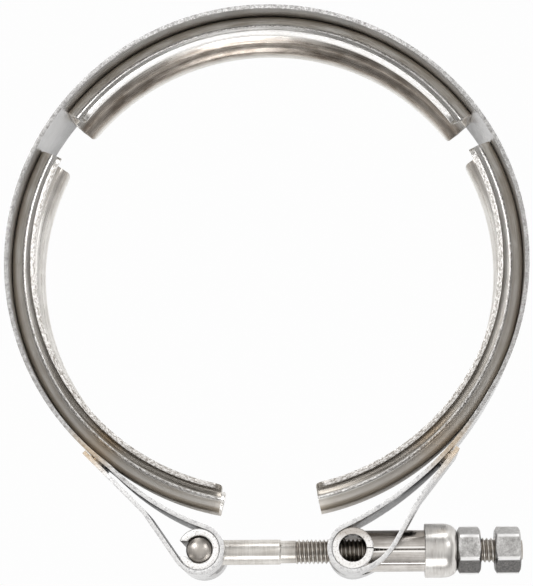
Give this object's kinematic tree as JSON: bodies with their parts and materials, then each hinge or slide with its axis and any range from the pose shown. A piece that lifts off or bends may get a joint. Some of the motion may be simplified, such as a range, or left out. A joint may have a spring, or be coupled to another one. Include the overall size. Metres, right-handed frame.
{
  "type": "v band clamp",
  "caption": "V-band clamp with T-bolt latch: a sheet steel ring with V-section retainers pulls two pipe flanges together.",
  "frame": {"origin": "centre of the ring, at the middle of the band's width", "axes": "+Z along the ring's axis and up as the clamp lies, +X along the bolt towards its nuts, +Y away from the bolt"},
  "size_m": [0.1272, 0.1406, 0.022],
  "materials": {
    "band_steel": "cold rolled, satin",
    "retainer_steel": "rolled, brushed along the ring",
    "bolt_steel": "turned, satin",
    "sleeve_steel": "satin",
    "trunnion_steel": "drawn, half polished",
    "cap_steel": "drawn, half polished",
    "nut_steel": "satin"
  },
  "bodies": {
    "clamp_ring": {"band": "band_steel", "retainer_top": "retainer_steel"},
    "left_side": {"retainer_left": "retainer_steel"},
    "right_side": {"retainer_right": "retainer_steel"},
    "bolt": {"t_bolt": "bolt_steel", "bolt_sleeve": "sleeve_steel"},
    "trunnion": {"split_trunnion": "trunnion_steel"},
    "cap": {"domed_cap": "cap_steel"},
    "nut": {"clamp_nut": "nut_steel"},
    "lock": {"lock_nut": "nut_steel"}
  },
  "joints": [
    {"name": "left_flex", "type": "hinge", "parent": "clamp_ring", "child": "left_side", "pos_m": [-0.05307, 0.03413, 0], "axis": [0, 0, 1], "range_deg": [0, 3.62], "deforming": ["band"]},
    {"name": "right_flex", "type": "hinge", "parent": "clamp_ring", "child": "right_side", "pos_m": [0.05363, 0.03325, 0], "axis": [0, 0, -1], "range_deg": [0, 3.92], "deforming": ["band"]},
    {"name": "bolt_swing", "type": "hinge", "parent": "left_side", "child": "bolt", "pos_m": [-0.01624, -0.07057, 0], "axis": [0, 0, -1], "range_deg": [0, 3.62]},
    {"name": "trunnion_swivel", "type": "hinge", "parent": "right_side", "child": "trunnion", "pos_m": [0.02011, -0.07057, 0], "axis": [0, 0, 1], "range_deg": [0, 3.92]},
    {"name": "cap_slide", "type": "slide", "parent": "bolt", "child": "cap", "axis": [-1, 0, 0], "range_m": [0, 0.01348]},
    {"name": "nut_spin", "type": "hinge", "parent": "cap", "child": "nut", "pos_m": [0.0479, -0.07057, 0], "axis": [-1, 0, 0], "range_deg": [0, 4855]},
    {"name": "lock_nut_travel", "type": "slide", "parent": "bolt", "child": "lock", "axis": [1, 0, 0], "range_m": [-0.0033, 0.006]}
  ],
  "couplings": [
    {"joint": "nut_spin", "follows": "cap_slide", "rad_per_m": 6283.2},
    {"joint": "left_flex", "follows": "cap_slide", "rad_per_m": 4.6611},
    {"joint": "right_flex", "follows": "cap_slide", "rad_per_m": 5.0477},
    {"joint": "bolt_swing", "follows": "cap_slide", "rad_per_m": 4.6611},
    {"joint": "trunnion_swivel", "follows": "cap_slide", "rad_per_m": 5.0477}
  ]
}
